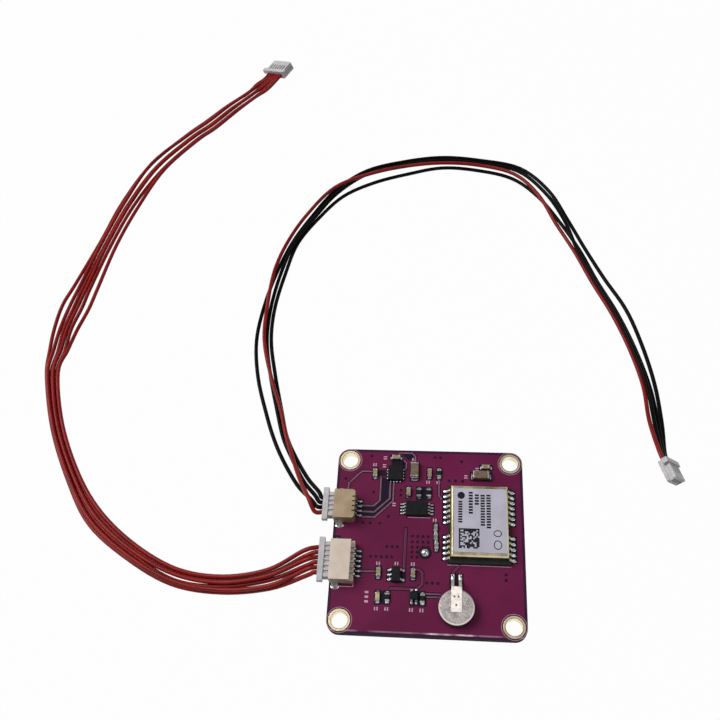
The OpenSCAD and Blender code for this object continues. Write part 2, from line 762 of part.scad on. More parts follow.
module plug_6_far() {
    color([0.84, 0.83, 0.84]) lying(far_6, 6) plug_housing(6);
}

module plug_6_far_terminals() {
    color([0.77, 0.75, 0.7]) lying(far_6, 6) plug_terminals(6);
}

// wires: an eight-sided tube from ring to ring, square to a plug at each end
module tube(p, last) {
    n = len(p);
    points = [for (i = [0:n - 1])
        each ring(p[i], i == 0 ? [-1, 0, 0] : i == n - 1 ? last : along(p, i))];
    sides = [for (i = [0:n - 2], k = [0:7]) let (a = 8 * i + k, b = 8 * i + (k + 1) % 8)
        each [[a, b + 8, b], [a, a + 8, b + 8]]];
    polyhedron(points, concat(sides, [[for (k = [0:7]) k], [for (k = [7:-1:0]) 8 * (n - 1) + k]]));
}

module wire_4_red() {
    color([0.6, 0.12, 0.12]) tube(path_4(0, 0), nose_dir(far_4));
}

module wire_4_black_a() {
    color([0.06, 0.06, 0.07]) tube(path_4(1, 3), nose_dir(far_4));
}

module wire_4_black_b() {
    color([0.06, 0.06, 0.07]) tube(path_4(2, 1), nose_dir(far_4));
}

module wire_4_black_c() {
    color([0.06, 0.06, 0.07]) tube(path_4(3, 2), nose_dir(far_4));
}

module wire_6_1() {
    color([0.6, 0.1, 0.1]) tube(path_6(0), nose_dir(far_6));
}

module wire_6_2() {
    color([0.6, 0.1, 0.1]) tube(path_6(1), nose_dir(far_6));
}

module wire_6_3() {
    color([0.6, 0.1, 0.1]) tube(path_6(2), nose_dir(far_6));
}

module wire_6_4() {
    color([0.6, 0.1, 0.1]) tube(path_6(3), nose_dir(far_6));
}

module wire_6_5() {
    color([0.6, 0.1, 0.1]) tube(path_6(4), nose_dir(far_6));
}

module wire_6_6() {
    color([0.6, 0.1, 0.1]) tube(path_6(5), nose_dir(far_6));
}

circuit_board();
hole_plating();
antenna_ceramic();
antenna_patch();
antenna_pin();
antenna_tape();
feed_solder();
receiver_board();
receiver_joints();
receiver_chip();
receiver_shield();
receiver_label();
compass_chip();
memory_chip();
memory_leads();
regulator_chip();
regulator_leads();
diode_body();
diode_leads();
small_capacitors();
large_capacitors();
resistors();
filter_parts();
power_lamp();
chip_end_caps();
chip_solder();
cell_tab_bottom();
cell_cap();
cell_seal();
cell_can();
cell_tab_top();
header_4_housing();
header_4_contacts();
header_4_anchors();
header_6_housing();
header_6_contacts();
header_6_anchors();
plug_4_seated();
plug_4_seated_terminals();
plug_4_far();
plug_4_far_terminals();
plug_6_seated();
plug_6_seated_terminals();
plug_6_far();
plug_6_far_terminals();
wire_4_red();
wire_4_black_a();
wire_4_black_b();
wire_4_black_c();
wire_6_1();
wire_6_2();
wire_6_3();
wire_6_4();
wire_6_5();
wire_6_6();
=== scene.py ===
"""Looks of a satellite positioning module: the camera, the wires of its two harnesses, the print
and solder on its board, the finish of every piece, and a plain studio. Lengths are millimetres in
the frame of the part, and become metres when a mesh is made."""
import json
import bpy
import numpy as np
from mathutils import Matrix, Vector


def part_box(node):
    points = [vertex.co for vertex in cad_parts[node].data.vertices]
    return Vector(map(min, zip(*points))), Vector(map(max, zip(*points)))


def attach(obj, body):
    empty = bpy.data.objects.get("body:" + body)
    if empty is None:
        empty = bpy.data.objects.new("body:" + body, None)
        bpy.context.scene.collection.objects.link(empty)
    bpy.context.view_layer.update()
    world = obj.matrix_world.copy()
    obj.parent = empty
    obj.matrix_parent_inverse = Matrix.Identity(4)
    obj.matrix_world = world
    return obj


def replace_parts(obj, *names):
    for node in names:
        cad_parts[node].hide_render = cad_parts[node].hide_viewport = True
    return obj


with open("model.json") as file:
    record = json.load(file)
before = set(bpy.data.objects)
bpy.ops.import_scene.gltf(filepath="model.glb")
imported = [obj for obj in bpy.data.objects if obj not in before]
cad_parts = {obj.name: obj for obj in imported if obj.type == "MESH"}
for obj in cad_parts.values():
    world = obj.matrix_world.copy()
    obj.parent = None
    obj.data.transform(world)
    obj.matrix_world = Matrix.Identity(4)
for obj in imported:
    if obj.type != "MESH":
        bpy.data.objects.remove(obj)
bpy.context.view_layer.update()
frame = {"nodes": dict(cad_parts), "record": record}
nodes = frame["nodes"]

MM = 0.001
BOARD_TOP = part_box("circuit_board")[1].z / MM
BOARD_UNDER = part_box("circuit_board")[0].z / MM
BOARD_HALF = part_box("circuit_board")[1].x / MM
HOLE_HALF = 16.5
CARRIER_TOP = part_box("receiver_board")[1].z / MM
LABEL_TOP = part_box("receiver_label")[1].z / MM
TAB_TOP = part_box("cell_tab_top")[1].z / MM
CELL = (5.7, -13.7)
CELL_R = 3.4
CELL_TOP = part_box("cell_can")[1].z / MM

# Camera, solved from the corners and holes of the board

EYE = (2.91, -55.65, 172.1)
LOOK_ALONG = (-0.09789, 0.49953, -0.86075)
PICTURE_UP = (-0.01332, 0.86416, 0.50303)
FOCAL_LENGTH = 43.16


def make_camera():
    """Axes of the camera as columns: right = forward x up, up, and backwards."""
    forward = Vector(LOOK_ALONG).normalized()
    right = forward.cross(Vector(PICTURE_UP)).normalized()
    up = right.cross(forward)
    turn = Matrix((right, up, -forward)).transposed().to_4x4()
    lens = bpy.data.cameras.new("camera")
    lens.sensor_width = 36
    lens.lens = FOCAL_LENGTH
    lens.clip_start = 0.01
    camera = bpy.data.objects.new("camera", lens)
    camera.matrix_world = Matrix.Translation(Vector(EYE) * MM) @ turn
    bpy.context.scene.collection.objects.link(camera)
    bpy.context.scene.camera = camera


# Shapes: grids of points that a formula gives, skinned with quads


def skin(grid, around=True):
    """Points of a grid (rows, columns, 3) and its closed skin: quads between neighbours, and one
    face over each open end. With around, the last column joins the first and the two end rows are
    covered. Without it the grid is an upper face, and a copy at its lowest height is the lower."""
    rows, columns = grid.shape[:2]
    if not around:
        under = grid.copy()
        under[..., 2] = grid[..., 2].min()
        return skin(np.concatenate([grid, under[:, ::-1]], axis=1))
    i, j = np.meshgrid(np.arange(rows - 1), np.arange(columns), indexing="ij")
    k = (j + 1) % columns
    here, there = i * columns, (i + 1) * columns
    quads = np.stack([here + j, here + k, there + k, there + j], -1).reshape(-1, 4)
    first = np.arange(columns)
    last = first + (rows - 1) * columns
    faces = quads.tolist() + [first[::-1].tolist(), last.tolist()]
    points = grid.reshape(-1, 3)
    corners = points[quads]
    centre = points.mean(0)
    outward = np.cross(corners[:, 2] - corners[:, 0], corners[:, 3] - corners[:, 1])
    if ((corners.mean(1) - centre) * outward).sum() < 0:
        faces = [face[::-1] for face in faces]
    return points, faces


def piece(name, skins, look, slot, smooth=True, marks=None):
    """One object made of several skins. marks is a number for each point, kept as "across"."""
    starts = np.cumsum([0] + [len(points) for points, faces in skins])
    points = np.concatenate([points for points, faces in skins]) * MM
    faces = [[v + int(start) for v in face] for (p, fs), start in zip(skins, starts) for face in fs]
    mesh = bpy.data.meshes.new(name)
    mesh.from_pydata(points.tolist(), [], faces)
    if marks is not None:
        mesh.attributes.new("across", "FLOAT", "POINT").data.foreach_set("value", np.concatenate(marks))
    mesh.polygons.foreach_set("use_smooth", [smooth] * len(faces))
    mesh.materials.append(look)
    made = bpy.data.objects.new(name, mesh)
    bpy.context.scene.collection.objects.link(made)
    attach(made, "root")
    return made


def unit(v):
    return v / np.linalg.norm(v, axis=-1, keepdims=True)


def spline(p, steps):
    """Smooth curve through the points p: on each span, with t from 0 to 1, half of
    2b + (c - a)t + (2a - 5b + 4c - d)t^2 + (3b - a - 3c + d)t^3."""
    p = np.asarray(p, float)
    a, b, c, d = p[np.r_[0, 0:len(p) - 2]], p[:-1], p[1:], p[np.r_[2:len(p), len(p) - 1]]
    t = (np.arange(steps) / steps)[None, :, None]
    a, b, c, d = (v[:, None] for v in (a, b, c, d))
    spans = 2 * b + (c - a) * t + (2 * a - 5 * b + 4 * c - d) * t**2 + (3 * b - a - 3 * c + d) * t**3
    return np.concatenate([spans.reshape(-1, p.shape[1]) / 2, p[-1:]])


def tube(path, radius, first, last, sides=16):
    """Circle carried along a path: centre + r cos(a) side + r sin(a) over, square to first and last."""
    along = unit(np.concatenate([[first], unit(path[2:] - path[:-2]), [last]]))
    side = unit(np.cross([0, 0, 1], along))
    over = np.cross(along, side)
    a = np.linspace(0, 2 * np.pi, sides, endpoint=False)[None, :, None]
    return skin(path[:, None] + radius * (np.cos(a) * side[:, None] + np.sin(a) * over[:, None]))


def strip(path, width, height, base=BOARD_TOP, shoulder=0.2):
    """Low flat-topped ridge along a line on the board: its section's four corners are carried along,
    and each corner of the line is mitred, so its offset is (left + right normals) / (1 + their dot)."""
    path = np.asarray(path, float)
    way = unit(np.diff(path, axis=0))
    normal = np.stack([-way[:, 1], way[:, 0]], 1)
    before, after = np.concatenate([normal[:1], normal]), np.concatenate([normal, normal[-1:]])
    mitre = (before + after) / (1 + (before * after).sum(1, keepdims=True))
    across = np.array([-1, -1 + shoulder, 1 - shoulder, 1]) * width / 2
    rise = np.array([0, 1, 1, 0]) * height + base
    flat = path[:, None] + mitre[:, None] * across[None, :, None]
    return skin(np.concatenate([flat, np.broadcast_to(rise[None, :, None], flat.shape[:2] + (1,))], -1))


def plate(outline, height, base=BOARD_TOP):
    """Outline in x and y, raised by a height."""
    outline = np.asarray(outline, float)
    rows = [np.column_stack([outline, np.full(len(outline), z)]) for z in (base, base + height)]
    return skin(np.stack(rows))


def rectangle(x, y, w, h):
    """Corners of a rectangle with its middle at x, y."""
    return [(x + i * w / 2, y + j * h / 2) for i, j in ((-1, -1), (1, -1), (1, 1), (-1, 1))]


def turned(centre, profile, base=BOARD_TOP, sides=16, stretch=(1, 1), heading=0):
    """Profile of (radius, height) points turned about an upright axis: centre + r (cos a, sin a)."""
    r, z = np.asarray(profile, float).T
    a = np.linspace(0, 2 * np.pi, sides, endpoint=False)[None]
    x, y = r[:, None] * np.cos(a) * stretch[0], r[:, None] * np.sin(a) * stretch[1]
    c, s = np.cos(np.radians(heading)), np.sin(np.radians(heading))
    height = np.broadcast_to(z[:, None] + base, x.shape)
    return skin(np.stack([centre[0] + c * x - s * y, centre[1] + s * x + c * y, height], -1))


def mound(centre, size, height, heading=0, base=BOARD_TOP):
    """Bead of solder: its radius goes as cos(t) and its height as sin(t)^0.8, over an oval."""
    t = np.radians([0, 15, 32, 50, 66, 80])
    profile = np.column_stack([np.cos(t), height * np.sin(t) ** 0.8])
    return turned(centre, profile, base, 14, (size[0] / 2, size[1] / 2), heading)


def fillet(foot, heading, reach, width, height, base=BOARD_TOP):
    """Solder that climbs an end: over s outwards and t across, height (1 - s)^2.2 (1 - t^2 / 4),
    with a low rim, and a foot that draws in at its outer corners."""
    s, t = np.meshgrid(np.linspace(0, 1, 7), np.linspace(-1, 1, 7), indexing="ij")
    x = s * reach * (1 - 0.25 * t**2)
    y = t * width / 2 * (1 + 0.12 * np.sin(np.pi * s) - 0.1 * s)
    z = height * (1 - s) ** 2.2 * (1 - t**2 / 4) + 0.05 * (1 - s**4) * (1 - t**4)
    c, n = np.cos(np.radians(heading)), np.sin(np.radians(heading))
    return skin(np.stack([foot[0] + c * x - n * y, foot[1] + n * x + c * y, base + z], -1), around=False)


# Shader maths


class Tone:
    """A shader socket that works as a number does in Python: each operation adds one Math node."""

    def __init__(self, look, socket):
        self.look = look
        self.socket = socket

    def math(self, operation, *values):
        return self.look.node("ShaderNodeMath", {"operation": operation}, dict(enumerate(values)))

    def __add__(self, other):
        return self.math("ADD", self, other)

    def __sub__(self, other):
        return self.math("SUBTRACT", self, other)

    def __rsub__(self, other):
        return self.math("SUBTRACT", other, self)

    def __mul__(self, other):
        return self.math("MULTIPLY", self, other)

    def __pow__(self, other):
        return self.math("POWER", self, other)

    def __abs__(self):
        return self.math("ABSOLUTE", self)

    __radd__ = __add__
    __rmul__ = __mul__

    def sine(self):
        return self.math("SINE", self)

    def larger(self, other):
        return self.math("MAXIMUM", self, other)

    def ramp(self, low, high):
        """0 below low, 1 above high, and smooth between them; low may be the larger."""
        sockets = {"Value": self, "From Min": low, "From Max": high}
        return self.look.node("ShaderNodeMapRange", {"interpolation_type": "SMOOTHSTEP"}, sockets)

    def band(self, low, high, soft):
        return self.ramp(low - soft, low) * self.ramp(high + soft, high)


class Look:
    """A material: one Principled shader, what is the same all over it, and what feeds the rest."""

    def __init__(self, name, **even):
        self.material = bpy.data.materials.new(name)
        self.material.use_nodes = True
        self.tree = self.material.node_tree
        self.shader = self.tree.nodes["Principled BSDF"]
        for socket, value in even.items():
            label = socket.replace("_", " ").title().replace("Ior", "IOR")
            self.shader.inputs[label].default_value = value

    def node(self, kind, settings=None, sockets=None, out=0):
        """Any node: first its settings, then a value or a link for each socket that is named."""
        made = self.tree.nodes.new(kind)
        for key, value in (settings or {}).items():
            setattr(made, key, value)
        for key, value in (sockets or {}).items():
            if isinstance(value, Tone):
                self.tree.links.new(value.socket, made.inputs[key])
            else:
                made.inputs[key].default_value = value
        return Tone(self, made.outputs[out])

    def place(self):
        return self.node("ShaderNodeTexCoord", out="Object")

    def axes(self):
        """x, y and z in millimetres."""
        place = self.place()
        return [self.node("ShaderNodeSeparateXYZ", None, {0: place}, out=k) * (1 / MM) for k in range(3)]

    def noise(self, size, detail=2.0, stretch=None):
        """Cloudy values from 0 to 1, with clouds of about size millimetres; stretch draws them out."""
        place = self.place()
        if stretch:
            place = self.node("ShaderNodeMapping", None, {"Vector": place, "Scale": stretch})
        sockets = {"Vector": place, "Scale": 1 / (size * MM), "Detail": detail}
        return self.node("ShaderNodeTexNoise", None, sockets)

    def speckle(self, size):
        """Distance to the nearest of many scattered points, about 0 to 1, with points size apart."""
        sockets = {"Vector": self.place(), "Scale": 1 / (size * MM)}
        return self.node("ShaderNodeTexVoronoi", None, sockets)

    def blend(self, amount, a, b):
        return self.node("ShaderNodeMix", {"data_type": "RGBA"}, {0: amount, 6: a, 7: b}, out=2)

    def bump(self, height, depth, edge=0.0):
        """Normal of a surface that rises by height times depth millimetres, with edges rounded."""
        sockets = {"Height": height, "Distance": depth * MM, "Strength": 1.0}
        if edge:
            sockets["Normal"] = self.node("ShaderNodeBevel", {"samples": 6}, {"Radius": edge * MM})
        self.feed("Normal", self.node("ShaderNodeBump", None, sockets))

    def feed(self, socket, tone):
        self.tree.links.new(tone.socket, self.shader.inputs[socket])


def paint(code):
    """Linear colour of a six-digit screen colour: each part is ((c + 0.055) / 1.055)^2.4."""
    c = np.array([int(code[k:k + 2], 16) for k in (0, 2, 4)]) / 255
    linear = np.where(c < 0.04045, c / 12.92, ((c + 0.055) / 1.055) ** 2.4)
    return (*linear.tolist(), 1.0)


# Finishes

CLOTH_PITCH = 0.62


def solder_mask():
    """Plum lacquer over copper and glass cloth: a faint cloth grid, bare laminate in a rim along the
    edge and in a ring around each hole, a fine line outside that ring, a painted highlight along the
    front edge, brightest right of the middle, and a dark cut edge."""
    look = Look("solder_mask", coat_roughness=0.12, specular_ior_level=0.08)
    x, y, z = look.axes()
    thread = 2 * np.pi / CLOTH_PITCH
    cloth = abs((x * thread).sine()) * 0.5 + abs((y * thread).sine()) * 0.5
    cloud = look.noise(9.0).ramp(0.3, 0.7)
    colour = look.blend(cloud, paint("5c143b"), paint("681a43"))
    colour = look.blend(cloth.ramp(0.72, 1.0) * 0.35, colour, paint("803a5a"))
    rim = abs(x).larger(abs(y)).ramp(BOARD_HALF - 0.62, BOARD_HALF - 0.5)
    hole = ((abs(x) - HOLE_HALF) ** 2 + (abs(y) - HOLE_HALF) ** 2) ** 0.5
    bare = rim.larger(hole.band(2.0, 2.26, 0.05))
    colour = look.blend(bare, colour, paint("3a1636"))
    colour = look.blend(hole.band(2.36, 2.44, 0.05) * 0.7, colour, paint("b98fa0"))
    # Painted highlight: a pale, broken line along the top of the front edge, stronger right of the
    # middle.
    painted_edge_highlight = (y + BOARD_HALF).band(0.5, 0.72, 0.08) * look.noise(4.0, 3.0).ramp(0.3, 0.6)
    colour = look.blend(painted_edge_highlight * (0.2 + x.band(1.5, 8.0, 2.0) * 0.75), colour, paint("ece0e5"))
    edge = z.ramp(BOARD_TOP - 0.02, BOARD_TOP - 0.1) * z.ramp(BOARD_UNDER + 0.02, BOARD_UNDER + 0.1)
    fibres = look.noise(0.25, 4.0, (1, 1, 3))
    colour = look.blend(edge, colour, look.blend(fibres, paint("14101d"), paint("33243c")))
    look.feed("Base Color", colour)
    look.feed("Roughness", 0.3 + edge * 0.4 + look.noise(2.0) * 0.12)
    look.feed("Coat Weight", 0.1 - edge * 0.1)
    look.bump(cloth * 0.3 + look.noise(0.5) * 0.4 + fibres * edge * 3, 0.012, 0.08)
    return look.material


def laminate():
    look = Look("bare_laminate", specular_ior_level=0.12)
    look.feed("Base Color", look.blend(look.noise(0.6), paint("150c1f"), paint("21122a")))
    look.feed("Roughness", 0.3 + look.noise(0.4) * 0.2)
    return look.material


def masked_track():
    """Lacquer over a copper line, with a painted highlight, a pale colour, towards both its edges."""
    look = Look("masked_track", specular_ior_level=0.1)
    across = look.node("ShaderNodeAttribute", {"attribute_name": "across"}, out="Fac")
    base = look.blend(look.noise(1.2), paint("651b42"), paint("70264b"))
    # Painted highlight: the colour turns pale towards both edges of the track, where its rounded edges
    # would glint.
    look.feed("Base Color", look.blend(abs(across).ramp(0.35, 0.9), base, paint("c9a5b6")))
    look.feed("Roughness", 0.32 + look.noise(0.5) * 0.15)
    return look.material


def via_mask():
    look = Look("masked_via", specular_ior_level=0.12)
    look.feed("Base Color", look.blend(look.noise(0.3), paint("1d061a"), paint("2c0c27")))
    look.feed("Roughness", 0.3 + look.noise(0.2) * 0.2)
    return look.material


def print_ink(name, low, high, grain):
    look = Look(name, specular_ior_level=0.15)
    look.feed("Base Color", look.blend(look.noise(grain, 3.0), paint(low), paint(high)))
    look.feed("Roughness", 0.5 + look.noise(grain * 2) * 0.2)
    return look.material


def metal(name, dark, bright, rough, grain, depth, edge=0.04, stretch=None):
    """Bare metal whose colour, polish and surface vary together over one cloudy grain."""
    look = Look(name, metallic=1.0)
    cloud = look.noise(grain, 3.0, stretch)
    fine = look.noise(grain / 5, 2.0, stretch)
    look.feed("Base Color", look.blend(cloud.ramp(0.3, 0.7), paint(dark), paint(bright)))
    look.feed("Roughness", rough + (cloud - 0.5) * 0.25 + fine * 0.08)
    look.bump(cloud + fine * 0.4, depth, edge)
    return look.material


def plated_hole():
    """Pale gold, with a dark line around each hole where the barrel turns into the ring."""
    look = Look("plated_gold", metallic=1.0)
    x, y = look.axes()[:2]
    hole = ((abs(x) - HOLE_HALF) ** 2 + (abs(y) - HOLE_HALF) ** 2) ** 0.5
    line = hole.band(1.68, 1.73, 0.03)
    colour = look.blend(look.noise(2.5).ramp(0.3, 0.7), paint("e2cd9c"), paint("f6ecd0"))
    look.feed("Base Color", look.blend(line, colour, paint("5d4c2a")))
    look.feed("Roughness", 0.34 + line * 0.2)
    look.bump(look.noise(0.6), 0.003, 0.04)
    return look.material


def cell_steel():
    """Bead-blasted can: a scatter of bright facets over a dull ground, a painted highlight with a
    smoother polish around the rim of the top face, and painted shade, near black and not metal, on the
    side below it."""
    look = Look("cell_steel")
    x, y, z = look.axes()
    reach = ((x - CELL[0]) ** 2 + (y - CELL[1]) ** 2) ** 0.5
    # Painted highlight: a pale band, also smoother, around the rim of the top face.
    rim = reach.ramp(CELL_R - 0.34, CELL_R - 0.2)
    # Painted shade: the side of the can below the top face is near black and not metal.
    painted_side_shade = z.ramp(CELL_TOP - 0.2, CELL_TOP - 0.28) * reach.ramp(CELL_R - 0.4, CELL_R - 0.3)
    facet = look.speckle(0.34).ramp(0.42, 0.1)
    cloud = look.noise(1.1, 3.0)
    colour = look.blend(cloud.ramp(0.3, 0.7), paint("979190"), paint("b7b0ad"))
    colour = look.blend((facet * 0.7).larger(rim * 0.9), colour, paint("eee2dd"))
    look.feed("Base Color", look.blend(painted_side_shade, colour, paint("0b0a0c")))
    look.feed("Metallic", 1 - painted_side_shade)
    look.feed("Roughness", 0.46 - facet * 0.2 - rim * 0.1 + cloud * 0.12 + painted_side_shade * 0.2)
    look.bump((facet + cloud) * (1 - painted_side_shade), 0.02, 0.06)
    return look.material


def moulding(name, low, high, rough, grain=0.9, edge=0.07, translucent=0.0, shine=0.5):
    """Moulded plastic: slow drifts of shade, a fine eroded texture, and rounded edges."""
    look = Look(name, subsurface_weight=translucent, subsurface_scale=0.0004, specular_ior_level=shine)
    cloud = look.noise(grain, 3.0)
    fine = look.noise(0.09, 2.0)
    look.feed("Base Color", look.blend(cloud.ramp(0.25, 0.75), paint(low), paint(high)))
    look.feed("Roughness", rough + (fine - 0.5) * 0.16)
    look.bump(fine + cloud * 0.5, 0.012, edge)
    return look.material


def insulation(name, low, high, shine):
    """Extruded wire cover: a soft gloss, with faint long streaks and a little dust."""
    look = Look(name, coat_roughness=0.25, specular_ior_level=shine)
    streak = look.noise(5.0, 3.0)
    dust = look.noise(0.35, 3.0).ramp(0.62, 0.8)
    look.feed("Base Color", look.blend(streak.ramp(0.3, 0.7), paint(low), paint(high)))
    look.feed("Roughness", 0.36 + dust * 0.2)
    look.feed("Coat Weight", shine * 0.8 - dust * shine * 0.5)
    look.bump(look.noise(0.9), 0.006)
    return look.material


def label_paper():
    look = Look("label_paper")
    fibre = look.noise(0.3, 4.0)
    look.feed("Base Color", look.blend(look.noise(4.0).ramp(0.3, 0.7), paint("aca9b8"), paint("b9b6c4")))
    look.feed("Roughness", 0.42 + fibre * 0.15)
    look.bump(fibre, 0.006)
    return look.material


make_camera()

FINISH = {
    "board": solder_mask(),
    "laminate": laminate(),
    "gold_plating": plated_hole(),
    "ceramic": moulding("antenna_ceramic", "d8cdb9", "e4dbc9", 0.55, 2.5),
    "electrode": metal("fired_silver", "a9a8a6", "d9d8d4", 0.38, 0.5, 0.006),
    "tape": moulding("foam_tape", "dcdcd8", "ecece8", 0.75, 0.8),
    "solder": metal("bright_solder", "8a8a8c", "e6e6e6", 0.17, 0.5, 0.016),
    "carrier": moulding("carrier_board", "0c0f10", "18201d", 0.4, 1.2, shine=0.3),
    "shield": metal("shield_steel", "aa9a75", "e2d6b6", 0.26, 2.2, 0.003, 0.14, (1, 0.25, 1)),
    "label": label_paper(),
    "chip_resin": moulding("chip_resin", "0c0c10", "161619", 0.5, 0.7, 0.05, shine=0.15),
    "tinned_lead": metal("tinned_lead", "8e8d8b", "e2e0dc", 0.26, 0.3, 0.008),
    "capacitor_tan": moulding("fired_tan", "7d684a", "a38a66", 0.36, 0.4, 0.06),
    "capacitor_brown": moulding("fired_brown", "5c4a3b", "7d6752", 0.34, 0.6, 0.08),
    "resistor_black": moulding("glazed_black", "0e0f12", "1a1c20", 0.25, 0.5, 0.04, shine=0.25),
    "filter_grey": moulding("fired_grey", "6e6a60", "8d887c", 0.4, 0.4, 0.05),
    "lamp": moulding("lamp_resin", "b79c63", "dcc894", 0.2, 0.5, 0.06, translucent=0.3),
    "cell_steel": cell_steel(),
    "seal": moulding("seal_ring", "17171a", "232328", 0.45),
    "cell_tab": metal("welded_tab", "e9dfd7", "fff8f1", 0.5, 0.7, 0.004),
    "header_tan": moulding("header_tan", "937c60", "aa9376", 0.4, 3.0, 0.08),
    "header_cream": moulding("header_cream", "c4b3a3", "d5c6b8", 0.42, 3.0, 0.08),
    "plug_white": moulding("plug_white", "aba8ab", "bfbcbe", 0.42, 1.4, 0.09),
    "wire_black": insulation("black_cover", "040405", "0b0b0d", 0.04),
    "wire_red": insulation("red_cover", "720f0d", "871614", 0.12),
}
SLOT_OF = {part["node"]: part["material_slot"] for part in frame["record"]["subparts"]}
for node_name, node in nodes.items():
    node.data.materials.clear()
    node.data.materials.append(FINISH[SLOT_OF[node_name]])

# Harnesses

WIRE_R = 0.45
LEAD_IN = 2.2
PLUG_FACE_X = -21.2
WIRE_Z = 7.35
# Each station is x, y, each wire's offset to the right of the way, each wire's height
LAY_4 = [
    (-23.5, 8.1, (-1.2, -0.8, 0.3, 1.3), (7.7, 6, 6.5, 7.1)),
    (-26.4, 12.2, (-0.5, -1.4, 0.1, 1.1), (5.2, 3.6, 4.1, 4.6)),
    (-29.8, 18.5, (0.2, -1.9, 0, 0.8), (2.8, 1.3, 1.4, 1.9)),
    (-32.4, 23.7, (0.8, -2, 0, 0.85), (1.9, 0.6, 0.6, 1)),
    (-34.5, 30, (1, -2.4, 0.1, 1.1), (1.7, 0.5, 0.5, 0.6)),
    (-37.5, 39.5, (0.5, -2.5, 0.4, 1.5), (1.5, 0.5, 0.5, 0.5)),
    (-39.5, 49, (0, -2, 0.5, 1.5), (1.5, 0.5, 0.5, 0.5)),
    (-39.5, 58.5, (-0.3, -1.3, 0.4, 1.4), (1.5, 0.5, 0.5, 0.5)),
    (-38, 68.5, (-1.2, -0.8, 0.3, 1.4), (1.5, 0.5, 0.6, 0.5)),
    (-35.5, 78, (-1.5, -0.3, 0.6, 1.1), (0.6, 0.5, 1.4, 0.5)),
    (-31, 86.5, (-1.9, -0.5, 0.8, 1.4), (0.6, 0.5, 1.3, 0.5)),
    (-25.5, 94.5, (-1, -0.9, 0.2, 2.1), (1.6, 0.5, 0.6, 0.5)),
    (-17.5, 100, (0.2, -2, -0.9, 2.7), (1.5, 0.5, 0.5, 0.5)),
    (-8, 103, (0.5, -2, -1, 2.5), (1.4, 0.5, 0.5, 0.5)),
    (1.5, 104.5, (0.6, -1.8, -0.8, 1.9), (1, 0.5, 0.5, 0.5)),
    (11, 103.5, (0.4, -1.7, -0.7, 1.9), (0.9, 0.5, 0.5, 0.5)),
    (20.5, 100.5, (1, -2.1, -1, 2), (1.3, 0.5, 0.5, 0.5)),
    (27, 93.5, (1.5, -2, -0.8, 1.4), (1.5, 0.5, 0.6, 0.5)),
    (31.5, 84.5, (1.8, -1.5, -0.3, 0.6), (0.8, 0.5, 1.4, 0.5)),
    (35, 75.5, (1.1, -1.6, 0.6, -0.2), (0.5, 0.5, 1.4, 0.5)),
    (38.5, 66.5, (1.1, -2, 0.6, -0.1), (0.5, 0.5, 1.4, 0.5)),
    (42.5, 57.5, (1.2, -2.3, 0.7, 0), (0.5, 0.5, 1.4, 0.5)),
    (45.5, 48, (1.1, -1.9, 0.6, -0.1), (0.5, 0.5, 1.4, 0.5)),
    (47.5, 38.5, (1.1, -1.5, 0.5, -0.3), (0.7, 0.5, 1.5, 0.5)),
    (48, 29, (1.6, -1.4, 0.5, -0.5), (2.5, 0.8, 2.2, 1.2)),
]
# Each station is x, y, each wire's offset to the right of the way, the height, the lift of every
# second wire, and the roll in degrees
LAY_6 = [
    (-24, -6.1, (-2.4, -1.4, -0.5, 0.5, 1.4, 2.4), 6.6, 0.5, 0),
    (-31.5, -8.2, (-2.2, -1.9, -0.5, 0.1, 0.7, 1.3), 3.2, 1, 0),
    (-41.5, -9.4, (-1.5, -1.2, -0.3, 0.3, 0.9, 1.5), 0.8, 0.85, 0),
    (-51.5, -8, (-1.6, -1.1, -0.7, 0.3, 0.8, 1.4), 0.5, 0.85, 0),
    (-61.5, -3.3, (-1.5, -1, -0.2, 0.3, 0.9, 1.5), 0.5, 0.85, 0),
    (-70.9, 3.7, (-1.7, -1, -0.3, 0.3, 1, 1.7), 0.5, 0.8, 0),
    (-77.8, 12.8, (-1.4, -0.9, -0.3, 0.2, 0.8, 1.3), 0.5, 0.85, 0),
    (-84.6, 25.2, (-1.3, -0.8, -0.3, 0.2, 0.7, 1.3), 0.5, 0.85, 0),
    (-89.1, 38.5, (-1.5, -1, -0.4, 0.3, 0.9, 1.5), 0.5, 0.8, 0),
    (-89.3, 45.3, (-2.3, -1.1, -0.2, 0.7, 1.5, 2.4), 0.5, 0.5, 0),
    (-89, 51.6, (-3, -1.4, -0.5, 0.4, 1.3, 3), 0.5, 0.2, 0),
    (-88, 58, (-3.6, -1.6, -0.5, 0.5, 1.6, 3.5), 0.5, 0.1, 0),
    (-86.9, 64.3, (-2.9, -1.4, -0.5, 0.5, 1.4, 3.4), 0.5, 0.2, 0),
    (-84.2, 77.6, (-2, -1.2, -0.4, 0.4, 1.2, 2.9), 0.5, 0.5, 0),
    (-80.8, 90.9, (-2.2, -1.3, -0.4, 0.4, 1.3, 3), 0.5, 0.5, 0),
    (-75.4, 103.4, (-2.6, -2, -0.7, 0.3, 1.4, 2.5), 0.5, 0.8, 0),
    (-67.8, 114, (-2.2, -1.4, -0.5, 0.4, 1.3, 2.2), 0.5, 0.6, 0),
    (-62.8, 119.1, (-2.4, -1.4, -0.5, 0.4, 1.2, 2.1), 0.5, 0.6, 0),
    (-57.7, 125.4, (-2.1, -1.3, -0.4, 0.4, 1.2, 2), 0.5, 0.6, 0),
    (-53.2, 130.2, (-1.6, -0.9, -0.2, 0.5, 1.2, 2), 0.6, 0.8, 0),
    (-50.2, 133, (-2.5, -1.5, -0.5, 0.5, 1.5, 2.5), 1.2, 0.3, -10),
]
# Loose plugs: middle of the wire face, heading, rise, roll
FAR_4 = ((48.9, 19.25, 2.68), (-72, 2, -54))
FAR_6 = ((-46.7, 137.1, 2.18), (59, 4, -20))


